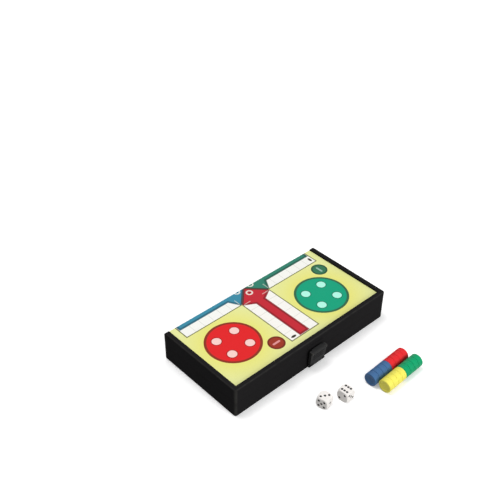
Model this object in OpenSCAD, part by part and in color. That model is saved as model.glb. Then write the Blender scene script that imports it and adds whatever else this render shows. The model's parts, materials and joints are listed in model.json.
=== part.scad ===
// Folding travel ludo board: two shallow trays hinged into a flat box, with the playing
// surface outside, magnetic counters and two dice.
// X runs along the long side, Y from the clasp to the hinge, Z up from the table.
// The origin is the middle of the front rim's underside, which the folded box stands on.

/* [Box] */
// Length of the folded box, and side of the open board
box_l = 200; // [160:1:260]
// Width of the folded box, from the clasp wall to the fold
box_w = 100; // [80:1:130]
// Height of one half
half_h = 16.5; // [14:0.1:22]
// Thickness of the outer walls
wall = 2; // [1.6:0.1:2.6]
// Radius of the upright front corners
corner_r = 2.5; // [1.5:0.1:3.5]
// Rounding along the outer top edge of the rim
rim_round = 1; // [0.4:0.1:1.2]
// Gap left between the two halves at the parting plane
parting_gap = 0.2; // [0.1:0.05:0.4]
// Distance of each back wall from the fold plane
fold_gap = 0.15; // [0.1:0.05:0.3]

/* [Playing surface] */
// Width of the raised rim
rim_w = 5; // [3:0.1:6]
// Depth of the printed face below the rim
recess = 2; // [1.2:0.1:3]
// Thickness of the deck under the sheets
deck_t = 1.8; // [1.2:0.1:2.4]
// Thickness of the steel sheet that the counters hold to
steel_t = 0.4; // [0.3:0.1:0.8]
// Thickness of the printed sheet
print_t = 0.3; // [0.2:0.1:0.6]
// Clearance round both sheets
sheet_gap = 0.3; // [0.1:0.05:0.5]
// Depth of the stiffening ribs under the deck
rib_h = 2; // [1:0.1:3]
// Thickness of the stiffening ribs
rib_t = 1.2; // [0.8:0.1:1.8]

/* [Hinge] */
// Distance of each hinge from the middle
hinge_x = 62; // [45:1:72]
// Length of one knuckle
knuckle_l = 9; // [6:0.5:12]
// Radius of the knuckles
knuckle_r = 2.2; // [2:0.1:2.8]
// Radius of the hinge pins
hinge_pin_r = 0.9; // [0.7:0.05:1.1]
// Radial running clearance on every pin
run_gap = 0.05; // [0.02:0.01:0.1]
// Clearance round a knuckle, and between knuckles
knuckle_gap = 0.3; // [0.2:0.05:0.5]

/* [Clasp] */
// Width of the clasp
clasp_w = 20; // [16:1:30]
// Width of the clasp's tongue between the lugs, and of its hook
tongue_w = 13; // [9:1:14]
// Height of the clasp pin above the table
clasp_pin_z = 5; // [4.2:0.1:5.6]
// Radius of the clasp pin
clasp_pin_r = 0.6; // [0.5:0.05:0.8]
// Radius of the clasp's barrel and of the lugs beside it
barrel_r = 1.9; // [1.7:0.1:2]
// Thickness of the clasp plate
clasp_t = 3; // [2.4:0.1:3.4]
// Gap between the latched clasp and the wall
clasp_gap = 1.4; // [1.2:0.1:1.8]
// Depth of the hook behind the catch
hook_grip = 0.9; // [0.6:0.1:1]
// Height of the catch ridge above the parting plane
catch_z = 2.9; // [2:0.1:5]
// Height of the catch ridge itself
catch_h = 1.8; // [1.4:0.1:2.4]
// Height of the thumb pad above the clasp
pad_h = 3; // [2:0.1:3.5]
// Thickness of the thumb pad
pad_t = 0.5; // [0.3:0.1:0.8]
// Angle at which the released clasp leans out at rest
clasp_lean = 4; // [4:1:12]

/* [Counters] */
// Diameter of a counter
counter_d = 13.5; // [10:0.5:18]
// Thickness of a counter
counter_h = 6.2; // [4:0.1:8]
// Gap between neighbouring counters in a line
counter_gap = 0.05; // [0.02:0.01:0.2]
// Diameter of the shallow dish in a counter's top
dish_d = 9.2; // [6:0.1:9.6]
// Counters of one colour
counter_count = 4; // [2:1:4]
// Diameter of the magnet in each counter
magnet_d = 8; // [6:0.5:8]
// Thickness of the magnet
magnet_h = 2.5; // [1.5:0.1:3]

/* [Dice] */
// Edge of a die
die_edge = 11.6; // [9:0.1:16]
// Radius of a pip
pip_r = 1.15; // [0.7:0.05:1.2]
// Distance from a face's middle line to its outer pips
pip_step = 2.8; // [2.5:0.1:3]
// Depth of a pip's recess
pip_depth = 0.4; // [0.3:0.05:0.5]

/* [Loose pieces on the table] */
// Middle of the line of blue and red counters
line_a = [42.5, -55.9];
// Gap between the two lines of counters
line_gap = 0.9; // [0.3:0.1:5]
// Shift of the yellow and green line along the other
line_shift = 3; // [-10:0.1:10]
// Turn of both lines about the vertical
line_turn = 1.8; // [-10:0.1:10]
// Place of the first die
die_a = [-30.7, -44.9];
// Turn of the first die
die_a_turn = 14; // [-45:0.5:45]
// Place of the second die
die_b = [-10.3, -52.3];
// Turn of the second die
die_b_turn = 4.5; // [-45:0.5:45]

/* [Hidden] */
COLOURS = ["blue", "red", "yellow", "green"];
PAINTS = ["#243a7a", "#d2262c", "#ece85a", "#14a06a"];
$fn = 48;
// overlap that lets a cut pass a face
over = 0.5;

front_y = -rim_w / 2;
fold_y = front_y + box_w;
base_s = parting_gap / 2;
print_s = half_h - recess;
steel_s = print_s - print_t;
deck_s = steel_s - steel_t;
deck_low_s = deck_s - deck_t;
inner_round = rim_round / 2;
rail_end_r = recess;
rib_places_x = [-box_l / 4, 0, box_l / 4];
rib_places_y = [box_w / 3, 2 * box_w / 3];

knuckle_pitch = knuckle_l + knuckle_gap;
hinge_pin_l = 3 * knuckle_l;

clasp_in_y = -clasp_gap;
clasp_out_y = clasp_in_y - clasp_t;
clasp_turn_gap = 0.5;
clasp_pin_y = -barrel_r - clasp_turn_gap;
clasp_low_z = clasp_pin_z + barrel_r + 2 * clasp_turn_gap;
latch_gap = 0.1;
hook_low_z = half_h + catch_z + catch_h + 2 * latch_gap;
hook_h = 1.8;
hook_in_y = clasp_in_y + latch_gap + hook_grip;
clasp_top_z = hook_low_z + hook_h;
catch_out_y = clasp_in_y + latch_gap;
catch_slope = 0.4;
pad_low_s = hook_low_z - half_h + hook_h + 2 * clasp_turn_gap;
lug_gap = 0.3;
lip_t = 1;
lip_h = 2.6;
grip_count = 3;
grip_pitch = 2.6;

counter_r = counter_d / 2;
counter_pitch = counter_h + counter_gap;
counter_round = 0.7;
dish_depth = 0.4;
magnet_set_in = 0.2;
paint_t = 0.15;
// sphere that takes the corners off a die, in die edges
die_ball = 0.715;

// The outline from which a wall of the tray is made: inwards along X, up along Y from the
// parting plane, with the rim and its rounded edges at the top.
module wall_section(inward = rim_w) {
    intersection() {
        square([inward, half_h]);
        union() {
            translate([0, base_s]) square([wall, half_h - base_s - rim_round]);
            translate([0, deck_low_s]) square([rim_w, half_h - rim_round - deck_low_s]);
            translate([rim_round, half_h - rim_round - over])
                square([rim_w - rim_round - inner_round, rim_round + over]);
            translate([rim_round, half_h - rim_round]) circle(rim_round);
            translate([rim_w - inner_round, half_h - inner_round]) circle(inner_round);
            translate([rim_w - inner_round - over, half_h - rim_round - over])
                square([inner_round + over, rim_round - inner_round + over]);
        }
    }
}

// The side wall at the left end, from the front corner to the fold.
module side_wall() {
    difference() {
        translate([-box_l / 2, corner_r, 0])
            rotate([90, 0, 0]) mirror([0, 0, 1])
                linear_extrude(box_w - fold_gap - corner_r) wall_section();
        // the rail's rounded end at the fold
        translate([-box_l / 2 - over, box_w - fold_gap - rail_end_r, half_h - rail_end_r])
            difference() {
                cube([rim_w + 2 * over, rail_end_r + over, rail_end_r + over]);
                rotate([0, 90, 0]) cylinder(r = rail_end_r, h = rim_w + 2 * over);
            }
    }
}

module front_corner() {
    translate([-box_l / 2 + corner_r, corner_r, 0])
        rotate([0, 0, 180])
            rotate_extrude(angle = 90)
                translate([corner_r, 0]) mirror([1, 0]) wall_section(corner_r);
}

// Three walls with the rim, the back wall, the deck and its ribs.
module shell() {
    for (side = [0, 1]) mirror([side, 0, 0]) {
        side_wall();
        front_corner();
    }
    translate([-box_l / 2 + corner_r, 0, 0])
        rotate([90, 0, 90]) linear_extrude(box_l - 2 * corner_r) wall_section();
    translate([-box_l / 2 + wall / 2, box_w - fold_gap - wall, base_s])
        cube([box_l - wall, wall, deck_s - base_s]);
    translate([-box_l / 2 + wall / 2, wall / 2, deck_low_s])
        cube([box_l - wall, box_w - fold_gap - wall / 2, deck_t]);
    for (x = rib_places_x)
        translate([x - rib_t / 2, wall / 2, deck_low_s - rib_h])
            cube([rib_t, box_w - fold_gap - wall, rib_h + deck_t / 2]);
    for (y = rib_places_y)
        translate([-box_l / 2 + wall / 2, y - rib_t / 2, deck_low_s - rib_h])
            cube([box_l - wall, rib_t, rib_h + deck_t / 2]);
}

// A bar along X at the fold axis, centred on each place in the list, at both hinges.
module hinge_bars(places, length, radius) {
    for (side = [-1, 1], place = places)
        translate([side * hinge_x + place * knuckle_pitch - length / 2, box_w, 0])
            rotate([0, 90, 0]) cylinder(r = radius, h = length);
}

// One tray with its own knuckles, and room cut for the other tray's.
module tray(own, others, bore_r) {
    difference() {
        union() {
            difference() {
                shell();
                hinge_bars(others, knuckle_l + 2 * knuckle_gap, knuckle_r + knuckle_gap);
            }
            hinge_bars(own, knuckle_l, knuckle_r);
            children();
        }
        hinge_bars(own, knuckle_l + 2 * over, bore_r);
    }
}

OUTER_KNUCKLES = [-1, 1];
MIDDLE_KNUCKLE = [0];

module place_upper() {
    translate([0, front_y, half_h]) children();
}

module place_lower() {
    translate([0, front_y, half_h]) mirror([0, 0, 1]) children();
}

// The ridge that the clasp's hook holds to, and the thumb pad above it.
module catch_ridge() {
    translate([-tongue_w / 2, 0, catch_z])
        rotate([90, 0, 90]) linear_extrude(tongue_w)
            polygon([[wall / 2, 0], [catch_out_y + catch_slope, 0], [catch_out_y, catch_slope],
                     [catch_out_y, catch_h], [wall / 2, catch_h]]);
    translate([-clasp_w / 2, -pad_t, pad_low_s]) cube([clasp_w, pad_t + wall / 2, pad_h]);
}

module clasp_lugs() {
    for (side = [0, 1]) mirror([side, 0, 0])
        translate([tongue_w / 2 + lug_gap, 0, half_h - clasp_pin_z])
            difference() {
                union() {
                    translate([0, clasp_pin_y, 0]) rotate([0, 90, 0])
                        cylinder(r = barrel_r, h = clasp_w / 2 - tongue_w / 2 - lug_gap);
                    translate([0, clasp_pin_y, -barrel_r])
                        cube([clasp_w / 2 - tongue_w / 2 - lug_gap, wall / 2 - clasp_pin_y, 2 * barrel_r]);
                }
                translate([-over, clasp_pin_y, 0]) rotate([0, 90, 0])
                    cylinder(r = clasp_pin_r, h = clasp_w / 2 + 2 * over);
            }
}

module upper_tray() {
    color("#1b1b1d") place_upper()
        tray(OUTER_KNUCKLES, MIDDLE_KNUCKLE, hinge_pin_r) catch_ridge();
}

module lower_tray() {
    color("#1b1b1d") place_lower()
        tray(MIDDLE_KNUCKLE, OUTER_KNUCKLES, hinge_pin_r + run_gap) clasp_lugs();
}

// A flat sheet inside the rim, from height low above the parting plane.
module sheet(low, thickness) {
    translate([-box_l / 2 + rim_w + sheet_gap, rim_w + sheet_gap, low])
        cube([box_l - 2 * (rim_w + sheet_gap), box_w - fold_gap - rim_w - sheet_gap, thickness]);
}

module upper_steel_sheet() { color("#9a9c9e") place_upper() sheet(deck_s, steel_t); }
module upper_print_sheet() { color("#e6e88c") place_upper() sheet(steel_s, print_t); }
module lower_steel_sheet() { color("#9a9c9e") place_lower() sheet(deck_s, steel_t); }
module lower_print_sheet() { color("#e6e88c") place_lower() sheet(steel_s, print_t); }

module hinge_pin(side) {
    color("#b8babd")
        translate([side * hinge_x - hinge_pin_l / 2, fold_y, half_h])
            rotate([0, 90, 0]) cylinder(r = hinge_pin_r, h = hinge_pin_l);
}

module left_hinge_pin() { hinge_pin(-1); }
module right_hinge_pin() { hinge_pin(1); }

module clasp_pin() {
    color("#b8babd")
        translate([-clasp_w / 2 + lug_gap, front_y + clasp_pin_y, clasp_pin_z])
            rotate([0, 90, 0]) cylinder(r = clasp_pin_r, h = clasp_w - 2 * lug_gap);
}

// The clasp as latched, upright in front of the wall.
module latched_clasp() {
    difference() {
        union() {
            translate([-tongue_w / 2, clasp_pin_y, clasp_pin_z])
                rotate([0, 90, 0]) cylinder(r = barrel_r, h = tongue_w);
            translate([-tongue_w / 2, clasp_out_y, clasp_pin_z])
                cube([tongue_w, clasp_t, clasp_top_z - clasp_pin_z]);
            translate([-clasp_w / 2, clasp_out_y, clasp_low_z])
                cube([clasp_w, clasp_t, clasp_top_z - clasp_low_z]);
            translate([-tongue_w / 2, clasp_in_y - over, hook_low_z])
                cube([tongue_w, hook_in_y - clasp_in_y + over, hook_h]);
            // the lip for the thumb
            translate([-clasp_w / 2, clasp_out_y - lip_t, clasp_top_z - lip_h])
                cube([clasp_w, lip_t + over, lip_h - lip_t]);
            translate([-clasp_w / 2, clasp_out_y, clasp_top_z - lip_t])
                rotate([0, 90, 0]) cylinder(r = lip_t, h = clasp_w);
            for (i = [0:grip_count - 1])
                translate([-tongue_w / 2, clasp_out_y, clasp_top_z - lip_h - (i + 1) * grip_pitch])
                    rotate([0, 90, 0]) cylinder(r = lip_t / 2, h = tongue_w);
        }
        translate([-tongue_w / 2 - over, clasp_pin_y, clasp_pin_z])
            rotate([0, 90, 0]) cylinder(r = clasp_pin_r + run_gap, h = tongue_w + 2 * over);
    }
}

module clasp() {
    color("#222225")
        translate([0, front_y + clasp_pin_y, clasp_pin_z]) rotate([clasp_lean, 0, 0])
            translate([0, -clasp_pin_y, -clasp_pin_z]) latched_clasp();
}

// Outline of a counter, turned about its axis: rounded edges, and a shallow dish in its top.
module counter_section() {
    difference() {
        union() {
            square([counter_r - counter_round, counter_h]);
            translate([0, counter_round]) square([counter_r, counter_h - 2 * counter_round]);
            for (end = [counter_round, counter_h - counter_round])
                translate([counter_r - counter_round, end]) circle(counter_round);
        }
        translate([-over, counter_h - dish_depth]) square([dish_d / 2 + over, dish_depth + over]);
        translate([-over, -over]) square([magnet_d / 2 + over, magnet_h + magnet_set_in + over]);
        translate([-counter_d, -over]) square([counter_d, counter_h + 2 * over]);
    }
}

// Stands its children, whose axis is Z, in a line lying on the table. Blue and yellow start
// at the left end, and red and green carry on from the middle.
module in_line(colour, i) {
    second_line = colour < 2 ? [0, 0] : [line_shift, -counter_d - line_gap];
    from_middle = (colour % 2 == 0 ? -counter_count : 0) + i;
    translate([line_a[0], line_a[1], counter_r]) rotate([0, 0, line_turn])
        translate([second_line[0] + (from_middle + 1) * counter_pitch, second_line[1], 0])
            rotate([0, -90, 0]) children();
}

module counter(colour, i) {
    color(PAINTS[colour]) in_line(colour, i) rotate_extrude() counter_section();
}

module magnets(colour) {
    color("#4b4b50")
        for (i = [0:counter_count - 1])
            in_line(colour, i) translate([0, 0, magnet_set_in])
                cylinder(d = magnet_d, h = magnet_h);
}

// Pips of one face, in steps from its middle.
function pips(n) = concat(
    n % 2 == 1 ? [[0, 0]] : [],
    n > 1 ? [[-1, 1], [1, -1]] : [],
    n > 3 ? [[-1, -1], [1, 1]] : [],
    n == 6 ? [[-1, 0], [1, 0]] : []);
// The turn that brings each face of the die up to Z, from one to six.
function face_turns(die) = die == 0
    ? [[90, 0, 0], [0, 90, 0], [0, 0, 0], [180, 0, 0], [0, -90, 0], [-90, 0, 0]]
    : [[180, 0, 0], [0, -90, 0], [90, 0, 0], [-90, 0, 0], [0, 90, 0], [0, 0, 0]];

module on_pips(die) {
    for (n = [1:6]) rotate(face_turns(die)[n - 1])
        for (p = pips(n)) translate([p[0] * pip_step, p[1] * pip_step, die_edge / 2]) children();
}

module place_die(die) {
    place = die == 0 ? die_a : die_b;
    turn = die == 0 ? die_a_turn : die_b_turn;
    translate([place[0], place[1], die_edge / 2]) rotate([0, 0, turn]) children();
}

module die(die) {
    color("#f4f2ee") place_die(die) difference() {
        intersection() {
            cube(die_edge, center = true);
            sphere(r = die_ball * die_edge, $fn = 64);
        }
        on_pips(die) translate([0, 0, -pip_depth]) cylinder(r = pip_r, h = pip_depth + over, $fn = 24);
    }
}

module die_pips(die) {
    color("#141414") place_die(die)
        on_pips(die) translate([0, 0, -pip_depth]) cylinder(r = pip_r, h = paint_t, $fn = 24);
}

upper_tray();
upper_steel_sheet();
upper_print_sheet();
left_hinge_pin();
right_hinge_pin();
lower_tray();
lower_steel_sheet();
lower_print_sheet();
clasp_pin();
clasp();
for (c = [0:3], i = [1:counter_count])
    counter(c, i - 1);
for (c = [0:3])
    magnets(c);
die(0);  // left_die
die_pips(0);  // left_die_pips
die(1);  // right_die
die_pips(1);  // right_die_pips
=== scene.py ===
"""Folding ludo board box: detailed pieces and finishes around its packed frame.

Everything is in metres, in the frame's own axes: X along the fold, Y from the clasp to the
fold, Z up out of the playing surface. New pieces are worked out as numpy surfaces.
"""
import json
import math

import bmesh
import bpy
import numpy as np
from bpy.props import FloatProperty, FloatVectorProperty, IntProperty, PointerProperty
from mathutils import Matrix, Vector


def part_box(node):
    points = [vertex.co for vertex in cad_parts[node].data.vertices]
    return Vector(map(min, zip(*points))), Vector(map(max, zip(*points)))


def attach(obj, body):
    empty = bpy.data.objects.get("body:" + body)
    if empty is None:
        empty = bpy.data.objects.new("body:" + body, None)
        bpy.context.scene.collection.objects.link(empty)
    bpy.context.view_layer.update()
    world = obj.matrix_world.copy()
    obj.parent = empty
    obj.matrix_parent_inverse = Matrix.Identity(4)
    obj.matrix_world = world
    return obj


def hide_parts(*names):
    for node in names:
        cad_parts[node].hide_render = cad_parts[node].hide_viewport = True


bl_info = {
    "name": "Folding Ludo Board Box",
    "version": (1, 0, 0),
    "blender": (4, 5, 0),
    "location": "View3D > Sidebar > Board Box",
    "description": "Trays, printed board, clasp, counters and dice of a folding travel ludo box",
    "category": "Object",
}

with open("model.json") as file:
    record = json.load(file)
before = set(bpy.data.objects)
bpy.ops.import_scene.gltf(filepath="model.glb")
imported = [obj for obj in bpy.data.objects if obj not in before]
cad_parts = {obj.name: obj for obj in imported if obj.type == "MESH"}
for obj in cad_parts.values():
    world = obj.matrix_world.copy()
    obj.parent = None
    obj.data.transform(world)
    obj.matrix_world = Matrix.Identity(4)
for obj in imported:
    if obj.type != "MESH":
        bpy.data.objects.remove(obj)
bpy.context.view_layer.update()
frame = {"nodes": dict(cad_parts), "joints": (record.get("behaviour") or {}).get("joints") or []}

MM = 0.001
COLOURS = ("blue", "red", "yellow", "green")
JOINTS = {joint["name"]: joint for joint in frame["joints"]}
FOLD = Vector(JOINTS["fold"]["pos_m"])
UPPER_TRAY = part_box("upper_tray")
# the catch ridge stands proud of the upper tray's front wall
CATCH_OUT = 1.3 * MM
FRONT_WALL = UPPER_TRAY[0].y + CATCH_OUT

# each lamp's name, place, width in metres and power in watts
LAMPS = (
    ("key_lamp", (-0.14, 0.3, 1.15), 0.5, 6.9),
    ("front_lamp", (0.15, -1.22, 0.42), 0.5, 8.0),
)
# share of the sky's tilt that comes from the right and from the front
SKY_RIGHT, SKY_FRONT = 0.9, 0.8
# the table is square, and glows more from GLOW_START on, over GLOW_FADE, both from the box's middle
TABLE_REACH = 6.0
GLOW_START, GLOW_FADE = 0.35, 0.6
# X is scaled by this, which draws a metal's streaks out along it
STREAK_STRETCH = 0.03
# edges that turn less than FLAT are joined, and those that turn more than SHARP are bevelled
FLAT = math.radians(0.6)
SHARP = math.radians(32)


def srgb(red, green, blue):
    """A colour as a picture editor gives it, 0 to 255, turned into linear light."""
    level = np.array([red, green, blue]) / 255
    linear = np.where(level <= 0.04045, level / 12.92, ((level + 0.055) / 1.055) ** 2.4)
    return tuple(float(v) for v in linear)


def times(tint, share):
    """A colour with each part multiplied by share."""
    return tuple(v * share for v in tint)


def length(name, description, default):
    """A length property, in metres."""
    return FloatProperty(name=name, description=description, default=default, unit="LENGTH", precision=5)


def colour(name, description, default):
    """A colour property, in linear light."""
    return FloatVectorProperty(
        name=name, description=description, default=default, subtype="COLOR", size=3, min=0, max=1
    )


def angle(name, description, degrees):
    """An angle property, given in degrees."""
    return FloatProperty(name=name, description=description, default=math.radians(degrees), unit="ROTATION")


class StageSettings(bpy.types.PropertyGroup):
    """The camera, the lamps and the table."""

    lens: FloatProperty(name="Lens", description="Focal length in millimetres", default=58.1, min=10, max=300)
    azimuth: angle("Azimuth", "Turn of the camera about the vertical", -42.98)
    elevation: angle("Elevation", "Height of the camera above the horizon", 37.05)
    roll: angle("Roll", "Turn of the camera about its own axis", 0.59)
    across: length("Across", "Shift of the box's foot to the right of the view's middle", 60.74 * MM)
    up: length("Up", "Shift of the box's foot above the view's middle", -107.94 * MM)
    away: length("Away", "Distance of the box's foot in front of the camera", 769.1 * MM)
    table: colour("Table", "Colour of the table", (0.5, 0.5, 0.5))
    glow: FloatProperty(
        name="Table glow",
        description="White added to the table as seen near the box",
        default=0.27,
        min=0,
        max=1,
    )
    sky: FloatProperty(
        name="Sky", description="Strength of the light from all round", default=0.44, min=0, max=2
    )
    sky_tilt: FloatProperty(
        name="Sky tilt",
        description="How much more light comes from the right and the front than from the left and the back",
        default=0.55,
        min=0,
        max=1,
    )


class PlasticSettings(bpy.types.PropertyGroup):
    """The black mouldings."""

    black: colour("Black", "Colour of the trays", (0.0125, 0.0120, 0.0125))
    clasp_black: colour("Clasp black", "Colour of the clasp", (0.019, 0.019, 0.0195))
    # the paler edge colour and the width of its band: partly scuffs, partly a painted highlight on the edges
    worn_and_highlit: colour("Worn black", "Colour of rubbed edges", (0.05, 0.049, 0.045))
    grain: length("Grain", "Size of the moulded grain", 0.45 * MM)
    wear_and_highlight_band: length("Wear", "Width of the rubbed band along the edges", 1.3 * MM)
    corner: length("Corner", "Radius of the upright corners", 2.5 * MM)
    bevel: length("Bevel", "Width of the small bevel on every sharp edge", 0.28 * MM)


class PrintSettings(bpy.types.PropertyGroup):
    """The printed board, measured from its middle."""

    home_radius: length("Home radius", "Radius of a corner disc", 27.5 * MM)
    home_near: length("Home near", "Shorter distance of a corner disc's middle", 51.3 * MM)
    home_far: length("Home far", "Longer distance of a corner disc's middle", 59.1 * MM)
    home_outline: length("Home outline", "Width of the ring round a corner disc", 2.5 * MM)
    spot_radius: length("Spot radius", "Radius of a pale spot", 4.6 * MM)
    spot_spread: length("Spot spread", "Distance of the spots from the disc's middle lines", 11 * MM)
    badge_radius: length("Badge radius", "Radius of the small badge", 8.6 * MM)
    badge_near: length("Badge near", "Shorter distance of a badge's middle", 30 * MM)
    badge_far: length("Badge far", "Longer distance of a badge's middle", 78.7 * MM)
    arm_half: length("Arm half width", "Half the width of an arm", 17.8 * MM)
    arm_start: length("Arm start", "Distance of an arm's first cell from the middle", 18.5 * MM)
    arm_end: length("Arm end", "Distance of an arm's end from the middle", 87 * MM)
    strip_half: length("Strip half width", "Half the width of the coloured strip", 6 * MM)
    cells: IntProperty(name="Cells", description="Cells along one lane", default=6, min=4, max=8)
    ground: colour("Ground", "Colour of the board's ground", srgb(230, 227, 124))
    ground_edge: colour("Ground edge", "Colour of the ground near the rim", srgb(228, 231, 158))
    lane: colour("Lane", "Colour of the lanes", srgb(240, 239, 228))
    line: colour("Line", "Colour of the fine outlines", srgb(104, 104, 60))
    dark: colour("Dark", "Colour of the marks", srgb(52, 46, 38))
    red: colour("Red", "Red of a corner disc", srgb(222, 30, 34))
    green: colour("Green", "Green of a corner disc", srgb(4, 158, 120))
    orange: colour("Orange", "Orange of a corner disc", srgb(226, 148, 104))
    blue: colour("Blue", "Blue of a corner disc", srgb(24, 156, 216))
    spot_red: colour("Red disc's spots", "Spots on the red disc", srgb(246, 206, 200))
    spot_green: colour("Green disc's spots", "Spots on the green disc", srgb(176, 246, 226))
    spot_orange: colour("Orange disc's spots", "Spots on the orange disc", srgb(252, 226, 204))
    spot_blue: colour("Blue disc's spots", "Spots on the blue disc", srgb(184, 232, 252))
    strip_red: colour("Red strip", "Red of an arm", srgb(192, 36, 50))
    strip_green: colour("Green strip", "Green of an arm", srgb(44, 124, 104))
    strip_orange: colour("Orange strip", "Orange of an arm", srgb(215, 136, 112))
    strip_blue: colour("Blue strip", "Blue of an arm", srgb(56, 136, 162))


class PieceSettings(bpy.types.PropertyGroup):
    """The counters and the dice."""

    counter_height: length("Counter height", "Thickness of a counter", 6.2 * MM)
    counter_round: length("Counter rounding", "Rounding of a counter's edges", 0.7 * MM)
    dish_radius: length("Dish radius", "Radius of the dish in a counter's top", 4.6 * MM)
    dish_depth: length("Dish depth", "Depth of that dish", 0.4 * MM)
    pocket_radius: length("Pocket radius", "Radius of the magnet's pocket", 4 * MM)
    pocket_depth: length("Pocket depth", "Depth of the magnet's pocket", 2.7 * MM)
    die_edge: length("Die edge", "Edge of a die", 11.6 * MM)
    die_ball: length("Die ball", "Radius of the ball that rounds a die's corners", 8.29 * MM)
    pip_radius: length("Pip radius", "Radius of a pip", 1.15 * MM)
    pip_depth: length("Pip depth", "Depth of a pip", 0.4 * MM)
    pip_step: length("Pip step", "Distance from a face's middle line to its outer pips", 2.8 * MM)
    die_white: colour("Die white", "Colour of the dice", srgb(244, 240, 236))
    pip_black: colour("Pip black", "Colour of the pips", srgb(22, 20, 20))
    blue: colour("Blue", "Blue of the counters", srgb(66, 106, 152))
    red: colour("Red", "Red of the counters", srgb(226, 40, 46))
    yellow: colour("Yellow", "Yellow of the counters", srgb(244, 235, 100))
    green: colour("Green", "Green of the counters", srgb(2, 158, 104))


SETTINGS = {
    "box_stage": StageSettings,
    "box_plastic": PlasticSettings,
    "box_print": PrintSettings,
    "box_pieces": PieceSettings,
}


class Field:
    """A number worked out by a material's nodes. Arithmetic on it adds Math nodes."""

    def __init__(self, tree, socket):
        self.tree = tree
        self.socket = socket

    def maths(self, operation, *others, clamp=False):
        """The result of one Math node on this field and the others."""
        node = self.tree.nodes.new("ShaderNodeMath")
        node.operation = operation
        node.use_clamp = clamp
        for socket, value in zip(node.inputs, (self, *others)):
            if isinstance(value, Field):
                self.tree.links.new(value.socket, socket)
            else:
                socket.default_value = value
        return Field(self.tree, node.outputs[0])

    def __add__(self, other):
        return self.maths("ADD", other)

    def __sub__(self, other):
        return self.maths("SUBTRACT", other)

    def __rsub__(self, other):
        return self.maths("MULTIPLY_ADD", -1.0, other)

    def __mul__(self, other):
        return self.maths("MULTIPLY", other)

    def __truediv__(self, other):
        return self.maths("DIVIDE", other)

    def __neg__(self):
        return self.maths("MULTIPLY", -1.0)

    def __abs__(self):
        return self.maths("ABSOLUTE")

    def __gt__(self, other):
        return self.maths("GREATER_THAN", other)

    __radd__ = __add__
    __rmul__ = __mul__

    def at_least(self, other):
        """The greater of the two."""
        return self.maths("MAXIMUM", other)

    def at_most(self, other):
        """The lesser of the two."""
        return self.maths("MINIMUM", other)

    def clamped(self):
        """This field kept between 0 and 1."""
        return self.maths("MULTIPLY", 1.0, clamp=True)

    def to(self, other, share):
        """This field where share is 0, the other where it is 1."""
        return self + (self * -1.0 + other) * share

    def sign(self):
        """One where the field is above zero, minus one elsewhere."""
        return (self > 0.0) * 2.0 - 1.0

    def inside(self, blur):
        """One where a distance is below zero, nought where it is above, with an edge as wide as blur."""
        return self.maths("MULTIPLY_ADD", -1 / blur, 0.5, clamp=True)


def hypot(across, along):
    """Length of a vector with these two parts."""
    return (across * across + along * along).maths("SQRT")


def mix(tree, share, under, over):
    """The colour under where share is 0, and over where it is 1."""
    node = tree.nodes.new("ShaderNodeMix")
    node.data_type = "RGBA"
    for name, value in (("Factor", share), ("A", under), ("B", over)):
        kind = "VALUE" if name == "Factor" else "RGBA"
        socket = next(s for s in node.inputs if s.name == name and s.type == kind)
        if isinstance(value, Field):
            tree.links.new(value.socket, socket)
        elif isinstance(value, (int, float)):
            socket.default_value = value
        else:
            socket.default_value = (*value[:3], 1)
    return Field(tree, next(s for s in node.outputs if s.type == "RGBA"))


def noise(tree, vector, scale, detail=3.0, roughness=0.5):
    """Noise from about 0 to 1, with features about one over scale metres wide."""
    node = tree.nodes.new("ShaderNodeTexNoise")
    node.inputs["Scale"].default_value = scale
    node.inputs["Detail"].default_value = detail
    node.inputs["Roughness"].default_value = roughness
    tree.links.new(vector, node.inputs["Vector"])
    return Field(tree, node.outputs["Fac"])


def new_material(name, **values):
    """A material with one Principled shader, whose sockets take the values, with its tree and shader."""
    material = bpy.data.materials.new(name)
    material.use_nodes = True
    tree = material.node_tree
    shader = tree.nodes["Principled BSDF"]
    for socket, value in values.items():
        name = socket.replace("_", " ")
        shader.inputs[name].default_value = (*value, 1) if isinstance(value, tuple) else value
    return material, tree, shader


def object_place(tree):
    """The socket that gives a point's place in the frame, in metres."""
    return tree.nodes.new("ShaderNodeTexCoord").outputs["Object"]


def parts(tree, vector):
    """The three parts of a vector as fields."""
    node = tree.nodes.new("ShaderNodeSeparateXYZ")
    tree.links.new(vector, node.inputs[0])
    return [Field(tree, socket) for socket in node.outputs]


def mapped(tree, vector, scale, move=(0, 0, 0)):
    """The socket of a vector whose parts are each scaled and then moved."""
    node = tree.nodes.new("ShaderNodeMapping")
    node.inputs["Location"].default_value = move
    node.inputs["Scale"].default_value = scale
    tree.links.new(vector, node.inputs["Vector"])
    return node.outputs[0]


def bump(tree, shader, height, depth, strength=1.0):
    """Raises the shader's surface by the height field times depth, in metres."""
    node = tree.nodes.new("ShaderNodeBump")
    node.inputs["Distance"].default_value = depth
    node.inputs["Strength"].default_value = strength
    tree.links.new(height.socket, node.inputs["Height"])
    tree.links.new(node.outputs["Normal"], shader.inputs["Normal"])


def drive(tree, shader, socket, field):
    """Feeds one of the shader's sockets from a field."""
    tree.links.new(field.socket, shader.inputs[socket])


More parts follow.
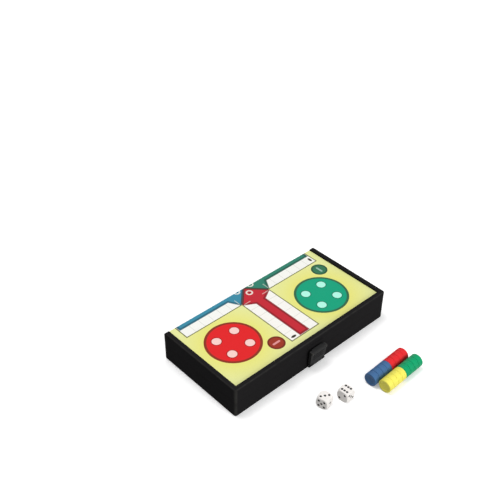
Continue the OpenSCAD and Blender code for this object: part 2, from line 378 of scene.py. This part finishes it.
def black_plastic(name, body_box, shine, black):
    """Moulded black plastic with a fine grain, paler along the outer edges of body_box: partly scuffs, partly
    a painted highlight.
    """
    settings = bpy.context.scene.box_plastic
    material, tree, shader = new_material(name, Specular_IOR_Level=shine)
    place = object_place(tree)
    x, y, z = parts(tree, place)
    low, high = body_box
    middle = (low + high) / 2
    half = (high - low) / 2
    from_side = half.x - abs(x - middle.x)
    from_end = half.y - abs(y - middle.y)
    from_top = half.z - abs(z - middle.z)
    from_wall = from_side.at_most(from_end)
    to_rim = from_wall.at_least(0.0) + from_top.at_least(0.0)
    # on a rounded corner both distances together are at least 0.59 of its radius
    corner_share = 0.55
    to_corner = (from_side + from_end - corner_share * settings.corner).at_least(0.0)
    edge = to_rim.at_most(to_corner) / settings.wear_and_highlight_band
    patchy = noise(tree, place, 90, 4, 0.6)
    # paler band along the rim and the upright corners: partly scuffs, partly a painted highlight on those
    # edges
    rubbed_and_highlit = ((1.0 - edge).at_least(0.0) * (patchy * 2.4 - 0.5)).clamped()
    smudge = noise(tree, place, 26, 5, 0.62)
    body = mix(tree, smudge * 0.35, black, times(black, 2.1))
    drive(tree, shader, "Base Color", mix(tree, rubbed_and_highlit * 0.8, body, settings.worn_and_highlit))
    drive(tree, shader, "Roughness", 0.44 + smudge * 0.16 - rubbed_and_highlit * 0.1)
    grain = noise(tree, place, 1 / settings.grain, 2, 0.5)
    bump(tree, shader, grain, 0.018 * MM, 0.8)
    return material


def gloss_plastic(name, tint, roughness, mottle=0.05):
    """Glossy coloured plastic, with a faint mottle in its colour and fine scuffs in its gloss."""
    material, tree, shader = new_material(name, Specular_IOR_Level=0.15)
    place = object_place(tree)
    cloud = noise(tree, place, 140, 3)
    scuff = noise(tree, place, 900, 4, 0.7)
    dark = times(tint, 1 - 2 * mottle)
    pale = tuple(min(1.0, v) for v in times(tint, 1 + mottle))
    drive(tree, shader, "Base Color", mix(tree, cloud, dark, pale))
    drive(tree, shader, "Roughness", roughness + (scuff - 0.4) * 0.16)
    bump(tree, shader, noise(tree, place, 260, 2), 0.006 * MM)
    return material


def bare_metal(name, tint, roughness, streak):
    """Drawn or rolled metal with fine streaks along X."""
    material, tree, shader = new_material(name, Metallic=1.0)
    place = object_place(tree)
    lines = noise(tree, mapped(tree, place, (STREAK_STRETCH, 1, 1)), streak, 3, 0.6)
    drive(tree, shader, "Base Color", mix(tree, lines, times(tint, 0.8), tint))
    drive(tree, shader, "Roughness", roughness + lines * 0.2)
    bump(tree, shader, lines, 0.004 * MM)
    return material


def magnet_material():
    """Sintered magnet, dull grey with fine pits."""
    material, tree, shader = new_material("magnet", Specular_IOR_Level=0.4)
    place = object_place(tree)
    pits = noise(tree, place, 2600, 3, 0.7)
    drive(tree, shader, "Base Color", mix(tree, pits, srgb(52, 51, 54), srgb(96, 94, 96)))
    drive(tree, shader, "Roughness", 0.5 + pits * 0.25)
    bump(tree, shader, pits, 0.02 * MM)
    return material


def pip_material(settings):
    """Matt black paint in the pips."""
    material, tree, shader = new_material("pip_paint", Specular_IOR_Level=0.3)
    place = object_place(tree)
    brush = noise(tree, place, 1800, 2)
    drive(tree, shader, "Base Color", mix(tree, brush, settings.pip_black, times(settings.pip_black, 1.6)))
    drive(tree, shader, "Roughness", 0.5 + brush * 0.2)
    bump(tree, shader, brush, 0.01 * MM)
    return material


class Ink:
    """Layers of ink, each laid over those before it."""

    def __init__(self, tree, first):
        self.tree = tree
        self.colour = first

    def lay(self, cover, over):
        """Covers what is there with a colour, where cover is 1."""
        self.colour = mix(self.tree, cover, self.colour, over)


def print_material(name, side):
    """The printed board: four corner discs with spots and a badge, and four arms that meet in the middle.

    side is 1 on the half whose print faces up and -1 on the one that faces down. The pattern is
    the same after each quarter turn, so it is drawn once in each arm's own measures: out is the
    distance from the middle along the arm and aside the distance across it. A corner disc and its
    badge are drawn the same way, in distances that swap from one corner to the next.
    """
    s = bpy.context.scene.box_print
    material, tree, shader = new_material(name, Specular_IOR_Level=0.15)
    place = object_place(tree)
    x, y, _ = parts(tree, mapped(tree, place, (1, side, 1), (0, -side * FOLD.y, 0)))
    crisp = 0.12 * MM

    upright = abs(y) > abs(x)
    out = abs(x).at_least(abs(y))
    aside = (y * x.sign()).to(-(x * y.sign()), upright)
    off = abs(aside)
    same_sign = (x * y) > 0.0
    home_u = abs(y).to(abs(x), same_sign)
    home_v = abs(x).to(abs(y), same_sign)
    right = x > 0.0
    far = y > 0.0

    def by_corner(shade):
        near = mix(tree, right, shade(s.red), shade(s.green))
        return mix(tree, far, near, mix(tree, right, shade(s.blue), shade(s.orange)))

    def by_arm(shade):
        flat = mix(tree, right, shade(s.strip_blue), shade(s.strip_green))
        return mix(tree, upright, flat, mix(tree, far, shade(s.strip_red), shade(s.strip_orange)))

    def darker(share):
        return lambda c: times(c, share)

    def paler(share):
        return lambda c: tuple(v + (1 - v) * share for v in c)

    def earthy(share, ground):
        return lambda c: tuple(v * share + g * ground for v, g in zip(c, s.ground))

    from_home = hypot(home_u - s.home_far, home_v - s.home_near)
    fade_width = 22 * MM
    edge_fade = ((from_home - s.home_radius) / fade_width).clamped()
    ink = Ink(tree, mix(tree, edge_fade, s.ground, s.ground_edge))

    arm = (off - s.arm_half).at_least(out - s.arm_end)
    beyond_middle = s.arm_start - out
    lane = by_arm(paler(0.93))
    ink.lay(arm.inside(crisp), mix(tree, 0.55, lane, s.lane))
    pitch = (s.arm_end - s.arm_start) / s.cells
    to_cell_line = (out - s.arm_start).maths("PINGPONG", pitch / 2)
    cell_line = 0.18 * MM
    ink.lay((to_cell_line - cell_line).at_least(arm).inside(crisp) * 0.38, s.line)

    strip_end = s.arm_end - 1.2 * MM
    strip = (off - s.strip_half).at_least(out - strip_end)
    barb_slope = 0.58
    barb = (out - s.arm_start - (s.arm_start - off) * barb_slope) / math.hypot(1, barb_slope)
    pointer = strip.at_most(barb)
    ink.lay(pointer.at_least(arm).inside(crisp), by_arm(darker(1)))
    outline_inset, outline_half = 0.8 * MM, 1.3 * MM
    pointer_line = (abs(pointer + outline_inset) - outline_half).at_least(arm)
    ink.lay(pointer_line.inside(crisp) * 0.75, by_arm(darker(0.36)))
    diagonal_half = 2.1 * MM
    diagonal = (abs(abs(x) - abs(y)) - diagonal_half).at_least(out - s.arm_half)
    ink.lay(diagonal.inside(crisp) * 0.82, s.dark)
    gleam_out, gleam_aside, gleam_half, gleam_reach = 19.2 * MM, 12 * MM, 0.5 * MM, 4 * MM
    gleam = (abs(out - gleam_out) - gleam_half).at_least(abs(off - gleam_aside) - gleam_reach)
    ink.lay(gleam.inside(crisp) * 0.42, s.lane)
    ring_out, ring_radius, ring_half, eye_radius = 9 * MM, 2.9 * MM, 0.8 * MM, 1.1 * MM
    from_ring = hypot(aside, out - ring_out)
    ink.lay((abs(from_ring - ring_radius) - ring_half).inside(crisp) * 0.8, s.lane)
    ink.lay((from_ring - eye_radius).inside(crisp) * 0.8, by_arm(darker(0.3)))
    arm_line_half = 0.54 * MM
    arm_line = (abs(arm) - arm_line_half).at_least(beyond_middle)
    ink.lay(arm_line.inside(crisp), s.line)
    mark_aside, mark_out, mark_radius = -12 * MM, 83.3 * MM, 1 * MM
    mark_wide, mark_deep = 3.0, 1.4
    mark = hypot((aside - mark_aside) / mark_wide, (out - mark_out) / mark_deep) - mark_radius
    ink.lay(mark.inside(crisp), s.dark)

    ink.lay((from_home - s.home_radius).inside(crisp), by_corner(earthy(0.3, 0.03)))
    ink.lay((from_home - s.home_radius + s.home_outline).inside(crisp), by_corner(darker(1)))
    spot_u = abs(home_u - s.home_far) - s.spot_spread
    spot_v = abs(home_v - s.home_near) - s.spot_spread
    from_spot = hypot(spot_u, spot_v)
    spot_ring = 0.9 * MM
    ink.lay((from_spot - s.spot_radius - spot_ring).inside(crisp), by_corner(darker(0.5)))
    near_spot = mix(tree, right, s.spot_red, s.spot_green)
    spots = mix(tree, far, near_spot, mix(tree, right, s.spot_blue, s.spot_orange))
    ink.lay((from_spot - s.spot_radius).inside(crisp), spots)

    badge_u = home_u - s.badge_near
    badge_v = home_v - s.badge_far
    from_badge = hypot(badge_u, badge_v)
    ink.lay((from_badge - s.badge_radius).inside(crisp), by_corner(earthy(0.2, 0.02)))
    badge_ring = 1.8 * MM
    ink.lay((from_badge - s.badge_radius + badge_ring).inside(crisp), by_corner(earthy(0.4, 0.035)))
    bar_reach, bar_radius = 3.4 * MM, 1.1 * MM
    bar = hypot((abs(badge_u) - bar_reach).at_least(0.0), badge_v) - bar_radius
    ink.lay(bar.inside(crisp) * 0.8, by_corner(paler(0.35)))

    fibre = noise(tree, place, 700, 3, 0.6)
    ink.lay((fibre - 0.5) * 0.16, (0, 0, 0))
    tree.links.new(ink.colour.socket, shader.inputs["Base Color"])
    handled = noise(tree, place, 30, 4, 0.6)
    drive(tree, shader, "Roughness", 0.34 + handled * 0.22)
    bump(tree, shader, noise(tree, place, 260, 2) + fibre * 0.3, 0.02 * MM, 0.6)
    return material


def mesh_piece(name, points, faces, body, material):
    """A mesh object from arrays of points and faces, riding on a body."""
    mesh = bpy.data.meshes.new(name)
    mesh.from_pydata(points.tolist(), [], faces)
    mesh.validate()
    mesh.polygons.foreach_set("use_smooth", [True] * len(mesh.polygons))
    mesh.materials.append(material)
    return place_piece(bpy.data.objects.new(name, mesh), body)


def place_piece(piece, body):
    """Links a piece, whose place is in its mesh, and sets its body."""
    bpy.context.scene.collection.objects.link(piece)
    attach(piece, body)
    return piece


def moulded_copy(node, body, material, bevel):
    """A copy of a node's mesh with its flat faces joined and a small bevel on every sharp edge."""
    work = bmesh.new()
    work.from_mesh(frame["nodes"][node].data)
    bmesh.ops.remove_doubles(work, verts=work.verts, dist=1e-6)
    bmesh.ops.dissolve_limit(work, verts=work.verts, edges=work.edges, angle_limit=FLAT)
    mesh = bpy.data.meshes.new(f"{node}_moulded")
    work.to_mesh(mesh)
    work.free()
    mesh.polygons.foreach_set("use_smooth", [True] * len(mesh.polygons))
    mesh.set_sharp_from_angle(angle=SHARP)
    mesh.materials.clear()
    mesh.materials.append(material)
    piece = place_piece(bpy.data.objects.new(f"{node}_moulded", mesh), body)
    rounding = piece.modifiers.new("edge", "BEVEL")
    rounding.width = bevel
    rounding.segments = 2
    rounding.limit_method = "ANGLE"
    rounding.angle_limit = SHARP
    rounding.harden_normals = True
    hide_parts(node)


def turned(profile, steps):
    """A closed surface of revolution about Z: each (radius, height) of the profile is carried round it.

    The steps are equal. The first and last points lie on the axis, and a fan of triangles meets at each.
    """
    radius, height = np.array(profile, float).T
    turn = np.linspace(0, 2 * math.pi, steps, endpoint=False)
    rings = np.stack(
        [
            radius[1:-1, None] * np.cos(turn),
            radius[1:-1, None] * np.sin(turn),
            np.broadcast_to(height[1:-1, None], (len(radius) - 2, steps)),
        ],
        -1,
    ).reshape(-1, 3)
    points = np.vstack([rings, (0, 0, height[0]), (0, 0, height[-1])])
    step = np.arange(steps)
    after = (step + 1) % steps
    row = np.arange(len(radius) - 3)[:, None] * steps
    quads = np.stack([row + step, row + after, row + steps + after, row + steps + step], -1).reshape(-1, 4)
    first, last = len(rings), len(rings) + 1
    top = (len(radius) - 3) * steps
    start = np.stack([np.full(steps, first), after, step], -1)
    end = np.stack([np.full(steps, last), top + step, top + after], -1)
    return points, quads.tolist() + start.tolist() + end.tolist()


def arc(middle, radius, start, end, count=6):
    """Points along an arc, its angles in degrees from the first axis towards the second."""
    turn = np.radians(np.linspace(start, end, count))
    return [(middle[0] + radius * math.cos(t), middle[1] + radius * math.sin(t)) for t in turn]


def along(points, start, direction):
    """Points whose Z is turned to a direction, and whose origin is moved to start."""
    direction = Vector(direction).normalized()
    turn = Vector((0, 0, 1)).rotation_difference(direction).to_matrix()
    return points @ np.array(turn).T + np.array(start)


def middle_of(node):
    """The middle of a node's box."""
    low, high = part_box(node)
    return (low + high) / 2


def counter_profile(s, radius):
    """Half a counter's section from the bottom's middle to the top's: magnet pocket, wall with rounded edges
    and a fine groove at half height, and a shallow dish with a fine raised ring."""
    height, edge = s.counter_height, s.counter_round
    floor = height - s.dish_depth
    lip = 0.12 * MM
    ring = 2.6 * MM
    brim = 0.3 * MM
    groove = 0.03 * MM
    return [
        (0, s.pocket_depth),
        (s.pocket_radius, s.pocket_depth),
        (s.pocket_radius, lip),
        (s.pocket_radius + lip, 0),
        *arc((radius - edge, edge), edge, -90, 0),
        (radius, height / 2 - lip),
        (radius - groove, height / 2),
        (radius, height / 2 + lip),
        *arc((radius - edge, height - edge), edge, 0, 90),
        (s.dish_radius + brim, height),
        *arc((s.dish_radius + brim, height - brim), brim, 90, 180, 4),
        (s.dish_radius - 0.1 * MM, floor + 0.02 * MM),
        (ring + 0.5 * MM, floor),
        *[(ring + 0.25 * MM * c, floor + 0.14 * MM * h) for c, h in arc((0, 0), 1, 0, 180, 6)],
        (ring - 0.5 * MM, floor),
        (0, floor),
    ]


def pip_places(count, step):
    """The places of a face's pips: one in the middle where the count is odd, then pairs across it."""
    middle = [(0, 0)] if count % 2 else []
    corners = [(-1, 1), (1, -1)] if count > 1 else []
    others = [(-1, -1), (1, 1)] if count > 3 else []
    sides = [(-1, 0), (1, 0)] if count == 6 else []
    return step * np.array(middle + corners + others + sides, float)


# the turned face, as (axis that it faces, axis of its first pip direction), for one to six pips
DIE_FACES = {
    "left_die": [(-2, 1), (1, -3), (3, 1), (-3, 1), (-1, 3), (2, 1)],
    "right_die": [(-3, 1), (-1, 3), (-2, 1), (2, 1), (1, -3), (3, 1)],
}


def axis(number):
    """The unit vector along axis 1, 2 or 3, turned round where the number is negative."""
    return np.eye(3)[abs(number) - 1] * np.sign(number)


def face_axes(face, first):
    """The outward, first and second directions of a die's face, right-handed."""
    outward, across = axis(face), axis(first)
    return outward, across, np.cross(outward, across)


def die_radius(direction, s):
    """Distance from a die's middle to its skin: a smooth minimum of a cube and a ball."""
    blunt = 34
    cube = s.die_edge / 2 / np.abs(direction).max(-1)
    return (cube**-blunt + np.full_like(cube, s.die_ball) ** -blunt) ** (-1 / blunt)


def dimple(places, pips, s):
    """How far the skin is pressed in at each place of a face: a shallow bowl round each pip."""
    apart = np.linalg.norm(places[..., None, :] - pips, axis=-1).min(-1)
    return s.pip_depth * np.clip(1 - (apart / s.pip_radius) ** 2, 0, None)


def die_skin(faces, s, steps=64):
    """A die about the origin: six grids of directions, each set out to the skin and pressed in at pips."""
    line = np.tan(np.linspace(-math.pi / 4, math.pi / 4, steps + 1))
    u, v = np.meshgrid(line, line, indexing="ij")
    points, quads = [], []
    i, j = np.meshgrid(np.arange(steps), np.arange(steps), indexing="ij")
    corner = i * (steps + 1) + j
    cell = np.stack([corner, corner + steps + 1, corner + steps + 2, corner + 1], -1).reshape(-1, 4)
    for count, (face, first) in enumerate(faces, 1):
        outward, across, second = face_axes(face, first)
        ray = outward + u[..., None] * across + v[..., None] * second
        ray /= np.linalg.norm(ray, axis=-1, keepdims=True)
        skin = ray * die_radius(ray, s)[..., None]
        places = np.stack([skin @ across, skin @ second], -1)
        skin -= dimple(places, pip_places(count, s.pip_step), s)[..., None] * outward
        quads.append(cell + len(points) * (steps + 1) ** 2)
        points.append(skin.reshape(-1, 3))
    return np.vstack(points), np.vstack(quads).tolist()


def pip_caps(faces, s, rings=5, steps=28):
    """The paint in every pip: a bowl a little above the pressed-in skin and a little under the face at its
    rim, which turns down into the die."""
    paint = 0.03 * MM
    share = np.linspace(0, 1, rings + 1)
    bowl = paint * (1 - 1.2 * share**4) - s.pip_depth * (1 - share**2)
    profile = [*zip(share * s.pip_radius, bowl), (s.pip_radius, -3 * paint), (0, -2 * paint - s.pip_depth)]
    ring_points, ring_faces = turned(profile, steps)
    ring_faces = np.array([[*face, -1][:4] for face in ring_faces])
    points, quads = [], []
    for count, (face, first) in enumerate(faces, 1):
        outward, across, second = face_axes(face, first)
        for place in pip_places(count, s.pip_step):
            local = ring_points + (*place, s.die_edge / 2)
            quads.append(np.where(ring_faces < 0, -1, ring_faces + len(points) * len(ring_points)))
            points.append(local @ np.stack([across, second, outward]))
    return np.vstack(points), [[int(v) for v in face if v >= 0] for face in np.vstack(quads)]


def merged(piece):
    """Joins the doubled points along a piece's seams, and turns its faces outwards."""
    work = bmesh.new()
    work.from_mesh(piece.data)
    bmesh.ops.remove_doubles(work, verts=work.verts, dist=1e-7)
    bmesh.ops.recalc_face_normals(work, faces=work.faces)
    work.to_mesh(piece.data)
    work.free()
    return piece


def lamp(name, place, size, power):
    """A soft square lamp at a place, aimed at the middle of the box's foot."""
    data = bpy.data.lights.new(name, "AREA")
    data.size = size
    data.energy = power
    thing = bpy.data.objects.new(name, data)
    thing.location = place
    target = Vector((0, FOLD.y / 2, 0))
    thing.rotation_euler = (target - Vector(place)).to_track_quat("-Z", "Y").to_euler()
    bpy.context.scene.collection.objects.link(thing)


def seen(tree):
    """One on camera, glossy and transmission rays, nought on the rays that carry the room's light."""
    path = tree.nodes.new("ShaderNodeLightPath")
    rays = [Field(tree, path.outputs[f"Is {kind} Ray"]) for kind in ("Camera", "Glossy", "Transmission")]
    return (rays[0] + rays[1] + rays[2]).at_most(1.0)


class BOX_OT_stage(bpy.types.Operator):
    """Sets up the camera, the lamps and the white table"""

    bl_idname = "board_box.stage"
    bl_label = "Stage"

    def execute(self, context):
        s = context.scene.box_stage
        self.camera(s)
        self.table(s)
        self.sky(context.scene, s)
        for values in LAMPS:
            lamp(*values)
        context.scene.view_settings.view_transform = "Standard"
        return {"FINISHED"}

    def camera(self, s):
        """Puts the camera at its distance and shifts from the foot of the box's front wall."""
        back = Vector(
            (
                math.sin(s.azimuth) * math.cos(s.elevation),
                -math.cos(s.azimuth) * math.cos(s.elevation),
                math.sin(s.elevation),
            )
        )
        level = (-back).cross(Vector((0, 0, 1))).normalized()
        steep = level.cross(-back)
        right = math.cos(s.roll) * level + math.sin(s.roll) * steep
        up = math.cos(s.roll) * steep - math.sin(s.roll) * level
        foot = Vector((0, FRONT_WALL, 0))
        place = foot - s.across * right - s.up * up + s.away * back
        data = bpy.data.cameras.new("camera")
        data.lens = s.lens
        data.clip_start = 0.01
        camera = bpy.data.objects.new("camera", data)
        camera.matrix_world = Matrix.Translation(place) @ Matrix((right, up, back)).transposed().to_4x4()
        bpy.context.scene.collection.objects.link(camera)
        bpy.context.scene.camera = camera

    def table(self, s):
        """A wide flat table. As seen it is white and keeps the shadows close to the pieces.

        Far off, where the lamps don't reach, it glows more.
        """
        corners = TABLE_REACH * np.array([(-1, -1, 0), (1, -1, 0), (1, 1, 0), (-1, 1, 0)])
        mesh = bpy.data.meshes.new("table")
        mesh.from_pydata(corners.tolist(), [], [(0, 1, 2, 3)])
        material, tree, shader = new_material("table", Roughness=0.9, Specular_IOR_Level=0.0)
        path = tree.nodes.new("ShaderNodeLightPath")
        camera_ray = Field(tree, path.outputs["Is Camera Ray"])
        drive(tree, shader, "Base Color", mix(tree, camera_ray, s.table, (1, 1, 1)))
        shader.inputs["Emission Color"].default_value = (1, 1, 1, 1)
        x, y, _ = parts(tree, object_place(tree))
        far = ((hypot(x, y - FOLD.y / 2) - GLOW_START) / GLOW_FADE).clamped()
        drive(tree, shader, "Emission Strength", (far * (1 - s.glow) + s.glow) * seen(tree))
        mesh.materials.append(material)
        table = bpy.data.objects.new("table", mesh)
        bpy.context.scene.collection.objects.link(table)

    def sky(self, scene, s):
        """Soft light from all round, stronger from the right and the front, and white where it is seen."""
        scene.world = bpy.data.worlds.new("sky")
        scene.world.use_nodes = True
        tree = scene.world.node_tree
        background = tree.nodes["Background"]
        background.inputs["Color"].default_value = (1, 1, 1, 1)
        x, y, _ = parts(tree, tree.nodes.new("ShaderNodeTexCoord").outputs["Generated"])
        light = (x * SKY_RIGHT - y * SKY_FRONT) * s.sky_tilt * s.sky + s.sky
        tree.links.new(light.to(1.0, seen(tree)).socket, background.inputs["Strength"])


class BOX_OT_trays(bpy.types.Operator):
    """Makes both moulded trays"""

    bl_idname = "board_box.trays"
    bl_label = "Trays"

    def execute(self, context):
        s = context.scene.box_plastic
        for half in ("upper", "lower"):
            low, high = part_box(f"{half}_tray")
            wall = (Vector((low.x, FRONT_WALL, low.z)), Vector((high.x, FOLD.y, high.z)))
            material = black_plastic(f"{half}_black_plastic", wall, 0.004, s.black)
            moulded_copy(f"{half}_tray", f"{half}_half", material, s.bevel)
        return {"FINISHED"}


class BOX_OT_sheets(bpy.types.Operator):
    """Finishes the printed sheets and the steel sheets under them"""

    bl_idname = "board_box.sheets"
    bl_label = "Sheets"

    def execute(self, context):
        tinplate = bare_metal("tinplate", srgb(200, 200, 202), 0.2, 300)
        for half, side in (("upper", 1), ("lower", -1)):
            material = print_material(f"{half}_print", side)
            moulded_copy(f"{half}_print_sheet", f"{half}_half", material, 0.08 * MM)
            finish_node(f"{half}_steel_sheet", tinplate)
        return {"FINISHED"}


def finish_node(node, material):
    """Gives a node that stays as it is its material."""
    mesh = frame["nodes"][node].data
    mesh.materials.clear()
    mesh.materials.append(material)


class BOX_OT_pins(bpy.types.Operator):
    """Makes the hinge pins and the clasp pin"""

    bl_idname = "board_box.pins"
    bl_label = "Pins"

    def execute(self, context):
        wire = bare_metal("steel_wire", srgb(196, 198, 202), 0.22, 900)
        bodies = {"left_hinge_pin": "upper_half", "right_hinge_pin": "upper_half", "clasp_pin": "lower_half"}
        for node, body in bodies.items():
            low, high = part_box(node)
            radius = (high.z - low.z) / 2
            reach = high.x - low.x
            nib = 0.3 * radius
            profile = [(0, 0), *arc((radius - nib, nib), nib, -90, 0, 5)]
            profile += [*arc((radius - nib, reach - nib), nib, 0, 90, 5), (0, reach)]
            points, faces = turned(profile, 32)
            start = middle_of(node)
            start.x = low.x
            points = along(points, start, (1, 0, 0))
            piece = mesh_piece(f"{node}_turned", points, faces, body, wire)
            piece.data.set_sharp_from_angle(angle=math.radians(40))
            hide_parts(node)
        return {"FINISHED"}


class BOX_OT_clasp(bpy.types.Operator):
    """Makes the clasp"""

    bl_idname = "board_box.clasp"
    bl_label = "Clasp"

    def execute(self, context):
        s = context.scene.box_plastic
        material = black_plastic("clasp_black_plastic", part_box("clasp"), 0.06, s.clasp_black)
        moulded_copy("clasp", "clasp", material, s.bevel)
        return {"FINISHED"}


class BOX_OT_counters(bpy.types.Operator):
    """Makes the sixteen counters and finishes their magnets"""

    bl_idname = "board_box.counters"
    bl_label = "Counters"

    def execute(self, context):
        s = context.scene.box_pieces
        magnet = magnet_material()
        for tint in COLOURS:
            material = gloss_plastic(f"{tint}_plastic", tuple(getattr(s, tint)), 0.34)
            nodes = sorted(n for n in frame["nodes"] if n.startswith(f"{tint}_counter_"))
            line = (middle_of(nodes[0]) - middle_of(nodes[-1])).normalized()
            for node in nodes:
                low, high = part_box(node)
                radius = (high.z - low.z) / 2
                points, faces = turned(counter_profile(s, radius), 72)
                bottom = middle_of(node) - line * s.counter_height / 2
                points = along(points, bottom, line)
                body, slot = f"{tint}_counters", f"{tint}_plastic"
                piece = mesh_piece(f"{node}_turned", points, faces, body, material)
                piece.data.set_sharp_from_angle(angle=math.radians(50))
                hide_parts(node)
            finish_node(f"{tint}_magnets", magnet)
        return {"FINISHED"}


class BOX_OT_dice(bpy.types.Operator):
    """Makes both dice and their painted pips"""

    bl_idname = "board_box.dice"
    bl_label = "Dice"

    def execute(self, context):
        s = context.scene.box_pieces
        white = gloss_plastic("white_plastic", tuple(s.die_white), 0.2, 0.02)
        paint = pip_material(s)
        for die, faces in DIE_FACES.items():
            turn = self.turn_of(die)
            middle = np.array(middle_of(die))
            for name, made, slot, material in (
                (die, die_skin(faces, s), "white_plastic", white),
                (f"{die}_pips", pip_caps(faces, s), "pip_paint", paint),
            ):
                points = made[0] @ turn.T + middle
                piece = merged(mesh_piece(f"{name}_skin", points, made[1], die, material))
                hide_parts(name)
        return {"FINISHED"}

    def turn_of(self, die):
        """The turn about Z that takes a die's own axes to its place, from where its flat side faces."""
        mesh = frame["nodes"][die].data
        normals = np.zeros(len(mesh.polygons) * 3)
        areas = np.zeros(len(mesh.polygons))
        mesh.polygons.foreach_get("normal", normals)
        mesh.polygons.foreach_get("area", areas)
        normals = normals.reshape(-1, 3)
        level = (np.abs(normals[:, 2]) < 0.01) & (normals[:, 0] > 0.8)
        facing = (normals[level] * areas[level, None]).sum(0)
        turn = math.atan2(facing[1], facing[0])
        cos, sin = math.cos(turn), math.sin(turn)
        return np.array([[cos, -sin, 0], [sin, cos, 0], [0, 0, 1]])


class BOX_PT_panel(bpy.types.Panel):
    """Lists the sizes, the colours and the steps of the box"""

    bl_idname = "BOX_PT_panel"
    bl_label = "Board Box"
    bl_space_type = "VIEW_3D"
    bl_region_type = "UI"
    bl_category = "Board Box"

    def draw(self, context):
        for name, group in SETTINGS.items():
            section = self.layout.box()
            section.label(text=group.__doc__.rstrip("."))
            for field in group.__annotations__:
                section.prop(getattr(context.scene, name), field)
        for step in STEPS:
            self.layout.operator(step.bl_idname)


STEPS = (BOX_OT_stage, BOX_OT_trays, BOX_OT_sheets, BOX_OT_pins, BOX_OT_clasp, BOX_OT_counters, BOX_OT_dice)


def register():
    for group in SETTINGS.values():
        bpy.utils.register_class(group)
    for step in (*STEPS, BOX_PT_panel):
        bpy.utils.register_class(step)
    for name, group in SETTINGS.items():
        setattr(bpy.types.Scene, name, PointerProperty(type=group))


def unregister():
    for name in SETTINGS:
        delattr(bpy.types.Scene, name)
    for made in (*SETTINGS.values(), *STEPS, BOX_PT_panel):
        bpy.utils.unregister_class(made)


def main():
    register()
    for step in STEPS:
        group, name = step.bl_idname.split(".")
        getattr(getattr(bpy.ops, group), name)()


if __name__ == "__main__":
    main()
